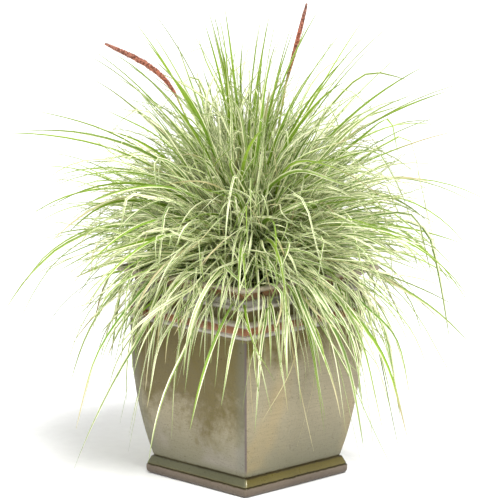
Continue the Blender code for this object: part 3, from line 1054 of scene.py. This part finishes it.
def grow_leaves(node, ring, style, settings, random):
    """Paths, widths and colours of one tuft's leaves."""
    azimuth, root, tip = tuft_reach(node)
    facing = max(0.0, math.cos(azimuth - OPEN_CORNER)) ** 8
    thinned = 1 - CORNER_THINNING * facing * (ring in ("rim", "skirt"))
    count = max(4, int(style.leaves * settings.fullness * thinned))
    sector = 2 * math.pi / sum(name.startswith(f"leaf_tuft_{ring}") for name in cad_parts)
    chord = np.subtract(tip, root)
    turn = azimuth + random.normal(0, SECTOR_SPREAD * sector, count)
    if ring == "top":
        turn = random.uniform(0, 2 * math.pi, count)
    radius = np.clip(root[0] + random.normal(0, ROOT_SPREAD, count), 0.004, CROWN_RADIUS * 0.97)
    roots = on_crown(radius, turn, random.uniform(0.006, 0.030, count))
    heading = turn + random.normal(0, style.fan, count)
    slope = math.atan2(chord[0], chord[1]) + random.normal(0, style.stray, count)
    reach = np.clip(random.normal(style.reach, 0.15, count), 0.25, 0.9)
    long = random.uniform(size=count) < style.long
    reach = np.where(long, random.uniform(*LONG_REACH, count), reach)
    bend = np.clip(style.bend * random.normal(1, 0.34, count), 0.02, 2.7)
    hook = style.hook * random.uniform(0.8, 1.25, count)
    length = reach * np.linalg.norm(chord)
    paths = sweep(roots, heading, slope, bend, hook, length, random, wander=RING_WANDER)
    paths = drape(keep_in_box(paths), random.uniform(0.0, 0.008, count))
    wither = random.uniform(size=count)
    withered = wither < WITHERED_SHARE
    dry_tipped = wither < DRY_TIPPED_SHARE
    width = settings.width * np.clip(random.normal(0.68, 0.26, count) + 0.30 * (reach - 0.6), 0.24, 1.12)
    return {
        "paths": paths,
        "turns": heading,
        "widths": width * np.where(withered, WITHERED_WIDTH, 1.0),
        "tint": np.clip(style.tint + 0.5 * (reach - 0.55) + random.normal(0, 0.20, count), PALEST_TINT, 1),
        "dryness": np.where(withered, 0.9, np.where(dry_tipped, random.uniform(*DRY_TIP, count), 0.0)),
        "rolls": random.normal(0, 0.8, count),
    }


def grow_filling(style, settings, random):
    """Thin, tangled leaves that fill the clump, some of them dry."""
    count = int(style.leaves * settings.fullness)
    turn = random.uniform(0, 2 * math.pi, count)
    radius = CROWN_RADIUS * 0.95 * np.sqrt(random.uniform(0, 1, count))
    roots = on_crown(radius, turn, random.uniform(0.0, 0.02, count))
    heading = turn + random.normal(0, style.fan, count)
    slope = 0.2 + radius / CROWN_RADIUS * 1.2 + random.normal(0, 0.45, count)
    length = random.uniform(*style.length, count)
    bend = np.clip(random.normal(1.0, 0.7, count), 0, 2.6)
    hook = random.uniform(0.7, 1.6, count)
    paths = sweep(roots, heading, slope, bend, hook, length, random, wander=style.wander)
    return {
        "paths": drape(keep_in_box(paths), random.uniform(0.0, 0.006, count)),
        "turns": heading,
        "widths": random.uniform(*style.width, count),
        "tint": random.uniform(PALEST_TINT, 0.62, count),
        "dryness": np.where(random.uniform(size=count) < style.dry, random.uniform(0.5, 1.0, count), 0.0),
        "rolls": random.normal(0, 0.8, count),
    }


def clump_outline(angles):
    """How far the tufts reach from the top of the crown, at each angle up from level."""
    middle = CROWN_HIGH.z
    outline = []
    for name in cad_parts:
        if name.startswith("leaf_tuft_"):
            radius, height = tuft_reach(name)[2]
            outline.append((math.atan2(height - middle, radius), math.hypot(radius, height - middle)))
    return np.interp(angles, *zip(*sorted(outline)))


def grow_stray_leaves(settings, random):
    """Single long leaves all round the clump, from its crown to just past its outline."""
    count = int(STRAY_LEAVES * settings.fullness)
    order = np.arange(count)
    heading = order * GOLDEN_TURN + random.normal(0, 0.2, count)
    steep = random.permutation(order) / (count - 1)
    angle = STRAY_ANGLES[0] + (STRAY_ANGLES[1] - STRAY_ANGLES[0]) * steep
    distance = clump_outline(angle) * random.uniform(0.92, 1.05, count)
    radius = CROWN_RADIUS * 0.8 * (1 - steep)
    roots = on_crown(radius, heading, np.full(count, 0.012))
    out = distance * np.cos(angle) - radius
    up = CROWN_HIGH.z + distance * np.sin(angle) - roots[:, 2]
    bend = 1.7 * (1 - steep) ** 1.5 + random.uniform(0.05, 0.45, count)
    hook = np.where(bend > 0.8, 0.8, 1.3)
    paths = sweep(roots, heading, np.arctan2(out, up), bend, hook, np.hypot(out, up), random, wander=0.3)
    return {
        "paths": drape(keep_in_box(paths), random.uniform(0.0, 0.008, count)),
        "turns": heading,
        "widths": settings.width * random.uniform(0.50, 0.98, count),
        "tint": random.uniform(0.60, 1.0, count),
        "dryness": np.zeros(count),
        "rolls": random.choice((-1.0, 1.0), count) * random.uniform(0.5, 1.1, count),
    }


def hang_strands(random):
    """Thin dry strands that hang from under the lip, each down its own stretch of wall."""
    count = DRY_STRANDS
    share = np.linspace(0, 1, LEAF_STATIONS)[None]
    top = LIP_TOP * 0.92
    bottom = LIP_TOP * random.uniform(0.02, 0.55, (count, 1))
    height = top + (bottom - top) * share
    sway = random.normal(0, 0.030, (count, 1)) * np.sin(share * random.uniform(2, 6, (count, 1)))
    aside = random.uniform(-0.75, 0.75, (count, 1)) * BODY_HALF + sway
    out = outer_limit(height) + 0.010 * np.sin(math.pi * share)
    turn = (np.arange(count) % 4)[:, None] * math.pi / 2
    x = out * np.cos(turn) - aside * np.sin(turn)
    y = out * np.sin(turn) + aside * np.cos(turn)
    return {
        "paths": np.stack([x, y, height], axis=2),
        "turns": turn[:, 0],
        "widths": np.full(count, 0.0020),
        "tint": random.uniform(0.1, 0.4, count),
        "dryness": np.full(count, 0.97),
        "rolls": random.normal(0, 0.6, count),
    }


class GRASSCLUMP_OT_leaf_ring(bpy.types.Operator):
    """Grow the leaves of one ring of tufts"""

    bl_idname = "grass_clump.leaf_ring"
    bl_label = "Leaves"

    ring: StringProperty(name="Ring", description="Which ring of tufts to grow", default="skirt")

    def execute(self, context):
        settings = context.scene.grass_settings
        nodes = sorted(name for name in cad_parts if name.startswith(f"leaf_tuft_{self.ring}"))
        order = list(LEAF_RINGS).index(self.ring)
        for index, node in enumerate(nodes):
            random = draws(settings, order * RING_SEEDS + index)
            grown = grow_leaves(node, self.ring, LEAF_RINGS[self.ring], settings, random)
            finish_leaves(node.replace("leaf_tuft", "leaves"), grown, settings, node)
        return {"FINISHED"}


class GRASSCLUMP_OT_filling(bpy.types.Operator):
    """Grow the tangled leaves that fill the clump"""

    bl_idname = "grass_clump.filling"
    bl_label = "Filling"

    part: StringProperty(name="Part", description="Which filling to grow", default="heart")

    def execute(self, context):
        settings = context.scene.grass_settings
        random = draws(settings, FILLING_SEED + list(FILLINGS).index(self.part))
        grown = grow_filling(FILLINGS[self.part], settings, random)
        finish_leaves(f"leaves_{self.part}", grown, settings)
        return {"FINISHED"}


class GRASSCLUMP_OT_stray_leaves(bpy.types.Operator):
    """Grow the single long leaves that stand out of the clump"""

    bl_idname = "grass_clump.stray_leaves"
    bl_label = "Stray leaves"

    def execute(self, context):
        settings = context.scene.grass_settings
        grown = grow_stray_leaves(settings, draws(settings, STRAY_SEED))
        finish_leaves("leaves_stray", grown, settings)
        return {"FINISHED"}


class GRASSCLUMP_OT_strands(bpy.types.Operator):
    """Hang thin dry strands down the planter's walls"""

    bl_idname = "grass_clump.strands"
    bl_label = "Dry strands"

    def execute(self, context):
        settings = context.scene.grass_settings
        finish_leaves("dry_strands", hang_strands(np.random.default_rng(settings.seed)), settings)
        return {"FINISHED"}


# ---------------------------------------------------------------- flowers


def node_route(node, stations):
    """The smooth middle line of a thin CAD rod, from its lower end to its upper end."""
    places = np.array([vertex.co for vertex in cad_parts[node].data.vertices])
    low, high = places[places[:, 2].argmin()], places[places[:, 2].argmax()]
    share = (places - low) @ (high - low) / np.sum((high - low) ** 2)
    line = np.polynomial.polynomial.polyfit(share, places, 4)
    return np.polynomial.polynomial.polyval(np.linspace(0, 1, stations), line).T


def rod_object(name, route, radii):
    """A round rod through the points, made from a bevelled curve."""
    curve = bpy.data.curves.new(name, "CURVE")
    curve.dimensions = "3D"
    curve.bevel_depth = 1.0
    curve.bevel_resolution = 1
    curve.use_fill_caps = True
    line = curve.splines.new("POLY")
    line.points.add(len(route) - 1)
    for point, place, radius in zip(line.points, route, radii):
        point.co = (*place, 1)
        point.radius = radius
    rod = bpy.data.objects.new(name, curve)
    bpy.context.scene.collection.objects.link(rod)
    select_only(rod)
    bpy.ops.object.convert(target="MESH")
    return bpy.context.object


def slivers(roots, tips, widths):
    """Points, faces and outward shares of many thin three-sided spikes from roots to tips."""
    count = len(roots)
    along = unit(tips - roots)
    helper = np.where(np.abs(along[:, 2:3]) < 0.9, (0, 0, 1), (1, 0, 0))
    side = unit(np.cross(along, helper))
    over = np.cross(along, side)
    middle = (roots + tips) / 2 + over * np.linalg.norm(tips - roots, axis=1)[:, None] * 0.06
    rings = []
    for centre, size in ((roots, 1.0), (middle, 0.8)):
        for angle in (0, 2 * math.pi / 3, 4 * math.pi / 3):
            arm = side * math.cos(angle) + over * math.sin(angle)
            rings.append(centre + arm * (widths * size)[:, None])
    points = np.stack([*rings, tips], axis=1).reshape(-1, 3)
    one = [(2, 1, 0)]
    for corner in range(3):
        after = (corner + 1) % 3
        one += [(corner, after, after + 3), (corner, after + 3, corner + 3), (corner + 3, after + 3, 6)]
    faces = (np.array(one)[None] + np.arange(count)[:, None, None] * 7).reshape(-1, 3)
    outwards = np.tile(np.array([0, 0, 0, 0.35, 0.35, 0.35, 1.0], np.float32), count)
    return points, faces, outwards


class GRASSCLUMP_OT_flower(bpy.types.Operator):
    """Model one flower stalk and its bristly spike"""

    bl_idname = "grass_clump.flower"
    bl_label = "Flower spike"

    title: StringProperty(name="Spike", description="Which spike to model", default="upright")
    fuzz: FloatProperty(name="Fuzz", description="How far the bristles stand out", default=1.0)
    ripe_from: FloatProperty(name="Ripeness at the base", description="0 is green, 1 is brown", default=0.0)
    ripe_to: FloatProperty(name="Ripeness at the tip", description="0 is green, 1 is brown", default=1.0)

    def execute(self, context):
        settings = context.scene.flower_settings
        stalk_node, spike_node = f"flower_stalk_{self.title}", f"flower_spike_{self.title}"
        spike_route = node_route(spike_node, 24)
        route = np.vstack([node_route(stalk_node, 24), spike_route[:2]])
        stalk = rod_object("stalk", route, np.linspace(0.0028, 0.0019, len(route)))
        finish = shared_finish("stalk_finish", stalk_material, settings)
        settle(stalk, f"stalk_{self.title}", finish, stalk_node)
        self.add_spike(context, spike_route, spike_node)
        return {"FINISHED"}

    def add_spike(self, context, route, node):
        """A core, overlapping florets that lie along it, and fine bristles standing out."""
        settings = context.scene.flower_settings
        random = np.random.default_rng(context.scene.grass_settings.seed + len(self.title))
        count = SPIKE_FLORETS + SPIKE_BRISTLES
        floret = np.arange(count) < SPIKE_FLORETS
        share = random.uniform(0.0, 0.985, count)
        at = share * (len(route) - 1)
        step = np.minimum(at.astype(int), len(route) - 2)
        base = route[step] + (route[step + 1] - route[step]) * (at - step)[:, None]
        along = unit(route[step + 1] - route[step])
        round_it = random.normal(size=(count, 3))
        out = unit(round_it - along * np.sum(round_it * along, axis=1, keepdims=True))
        body = np.sin(np.clip(share * 0.96 + 0.02, 0, 1) * math.pi) ** 0.7
        lean = np.where(floret, 0.55, 0.90)[:, None]
        long = np.where(floret, FLORET_LENGTH, settings.bristle * self.fuzz * random.uniform(0.6, 1.2, count))
        reach = unit(along + out * lean) * (long * (0.45 + 0.55 * body))[:, None]
        roots = base + out * (0.0020 * body * self.fuzz)[:, None]
        points, faces, outwards = slivers(roots, roots + reach, np.where(floret, FLORET_WIDTH, BRISTLE_WIDTH))
        outwards *= np.repeat(np.where(floret, 0.45, 1.0), 7)
        mesh = bpy.data.meshes.new("spike")
        mesh.from_pydata(points, [], faces)
        self.add_attribute(mesh, "outwards", outwards)
        self.add_attribute(mesh, "ripeness", np.repeat(self.ripeness(share), 7))
        spike = bpy.data.objects.new("spike", mesh)
        context.scene.collection.objects.link(spike)
        width = SPIKE_CORE * self.fuzz * np.sin(np.linspace(0.06, 0.97, len(route)) * math.pi) ** 0.7
        core = rod_object("core", route, width)
        places = np.array([vertex.co for vertex in core.data.vertices])
        nearest = np.linalg.norm(places[:, None] - route[None], axis=2).argmin(axis=1) / (len(route) - 1)
        self.add_attribute(core.data, "outwards", np.zeros(len(places)))
        self.add_attribute(core.data, "ripeness", self.ripeness(nearest))
        select_only(spike)
        core.select_set(True)
        bpy.ops.object.join()
        finish = shared_finish("bristle_finish", bristle_material, settings)
        settle(spike, f"spike_{self.title}", finish, node)

    def ripeness(self, share):
        return self.ripe_from + (self.ripe_to - self.ripe_from) * share

    def add_attribute(self, mesh, name, values):
        attribute = mesh.attributes.new(name, "FLOAT", "POINT")
        attribute.data.foreach_set("value", np.asarray(values, np.float32))


# ---------------------------------------------------------------- stage


class GRASSCLUMP_OT_stage(bpy.types.Operator):
    """Add the floor, the lights and the camera"""

    bl_idname = "grass_clump.stage"
    bl_label = "Stage"

    def execute(self, context):
        settings = context.scene.stage_settings
        self.add_floor()
        self.add_world(context.scene, settings)
        self.add_lights(settings)
        self.add_camera(context.scene, settings)
        context.scene.view_settings.view_transform = "Standard"
        return {"FINISHED"}

    def add_floor(self):
        select_none()
        bpy.ops.mesh.primitive_plane_add(size=FLOOR_SIZE, location=(0, 0, -FLOOR_GAP))
        floor = bpy.context.object
        floor.name = "floor"
        floor.data.materials.append(floor_material())

    def add_world(self, scene, settings):
        """A white backdrop that lights the object less than it shows."""
        world = bpy.data.worlds.new("studio")
        scene.world = world
        world.use_nodes = True
        background = world.node_tree.nodes["Background"]
        seen = world.node_tree.nodes.new("ShaderNodeLightPath").outputs["Is Camera Ray"]
        strength = world.node_tree.nodes.new("ShaderNodeMapRange")
        strength.inputs["To Min"].default_value = settings.light
        strength.inputs["To Max"].default_value = 1.0
        world.node_tree.links.new(seen, strength.inputs["Value"])
        world.node_tree.links.new(strength.outputs["Result"], background.inputs["Strength"])
        background.inputs["Color"].default_value = (1, 1, 1, 1)

    def add_lights(self, settings):
        """A high, broad key over the camera's right shoulder and a weaker fill from its left."""
        for name, (turn, up, soft, strength) in LAMPS.items():
            angle = settings.around + turn
            level = math.cos(up)
            source = Vector((math.sin(angle) * level, -math.cos(angle) * level, math.sin(up)))
            lamp = bpy.data.lights.new(name, "SUN")
            lamp.energy, lamp.angle = strength, soft
            light = bpy.data.objects.new(name, lamp)
            light.location = source * 3
            light.rotation_euler = (-source).to_track_quat("-Z", "Y").to_euler()
            bpy.context.scene.collection.objects.link(light)

    def add_camera(self, scene, settings):
        lens = bpy.data.cameras.new("camera")
        lens.lens = settings.lens
        lens.clip_end = 100
        camera = bpy.data.objects.new("camera", lens)
        right = Vector((math.cos(settings.around), math.sin(settings.around), 0))
        ahead = Vector((-math.sin(settings.around), math.cos(settings.around), 0))
        camera.location = right * settings.aside - ahead * settings.distance + Vector((0, 0, settings.height))
        look = ahead * math.cos(settings.down) - Vector((0, 0, math.sin(settings.down)))
        camera.rotation_euler = look.to_track_quat("-Z", "Y").to_euler()
        bpy.context.scene.collection.objects.link(camera)
        scene.camera = camera


class GRASSCLUMP_PT_panel(bpy.types.Panel):
    """Lists the pieces in building order, with their settings"""

    bl_idname = "GRASSCLUMP_PT_panel"
    bl_label = "Potted Fountain Grass"
    bl_space_type = "VIEW_3D"
    bl_region_type = "UI"
    bl_category = "Grass Clump"

    def draw(self, context):
        layout = self.layout
        for operator in (GRASSCLUMP_OT_planter, GRASSCLUMP_OT_soil, GRASSCLUMP_OT_crown):
            layout.operator(operator.bl_idname)
        for ring in LEAF_RINGS:
            layout.operator(GRASSCLUMP_OT_leaf_ring.bl_idname, text=f"Leaves: {ring}").ring = ring
        for part in FILLINGS:
            layout.operator(GRASSCLUMP_OT_filling.bl_idname, text=f"Filling: {part}").part = part
        for operator in (GRASSCLUMP_OT_stray_leaves, GRASSCLUMP_OT_strands):
            layout.operator(operator.bl_idname)
        for title, look in FLOWERS.items():
            button = layout.operator(GRASSCLUMP_OT_flower.bl_idname, text=f"Flower: {title}")
            button.title = title
            for name, value in look.items():
                setattr(button, name, value)
        layout.operator(GRASSCLUMP_OT_stage.bl_idname)
        for group in ("planter_settings", "grass_settings", "flower_settings", "stage_settings"):
            settings = getattr(context.scene, group)
            box = layout.box()
            for name in settings.__annotations__:
                box.prop(settings, name)


CLASSES = (
    PlanterSettings,
    GrassSettings,
    FlowerSettings,
    StageSettings,
    GRASSCLUMP_OT_planter,
    GRASSCLUMP_OT_soil,
    GRASSCLUMP_OT_crown,
    GRASSCLUMP_OT_leaf_ring,
    GRASSCLUMP_OT_filling,
    GRASSCLUMP_OT_stray_leaves,
    GRASSCLUMP_OT_strands,
    GRASSCLUMP_OT_flower,
    GRASSCLUMP_OT_stage,
    GRASSCLUMP_PT_panel,
)


def register():
    for cls in CLASSES:
        bpy.utils.register_class(cls)
    bpy.types.Scene.planter_settings = PointerProperty(type=PlanterSettings)
    bpy.types.Scene.grass_settings = PointerProperty(type=GrassSettings)
    bpy.types.Scene.flower_settings = PointerProperty(type=FlowerSettings)
    bpy.types.Scene.stage_settings = PointerProperty(type=StageSettings)


def unregister():
    for group in ("planter_settings", "grass_settings", "flower_settings", "stage_settings"):
        delattr(bpy.types.Scene, group)
    for cls in reversed(CLASSES):
        bpy.utils.unregister_class(cls)


def main():
    register()
    bpy.ops.grass_clump.planter()
    bpy.ops.grass_clump.soil()
    bpy.ops.grass_clump.crown()
    for ring in LEAF_RINGS:
        bpy.ops.grass_clump.leaf_ring(ring=ring)
    for part in FILLINGS:
        bpy.ops.grass_clump.filling(part=part)
    bpy.ops.grass_clump.stray_leaves()
    bpy.ops.grass_clump.strands()
    for title, look in FLOWERS.items():
        bpy.ops.grass_clump.flower(title=title, **look)
    bpy.ops.grass_clump.stage()


if __name__ == "__main__":
    main()
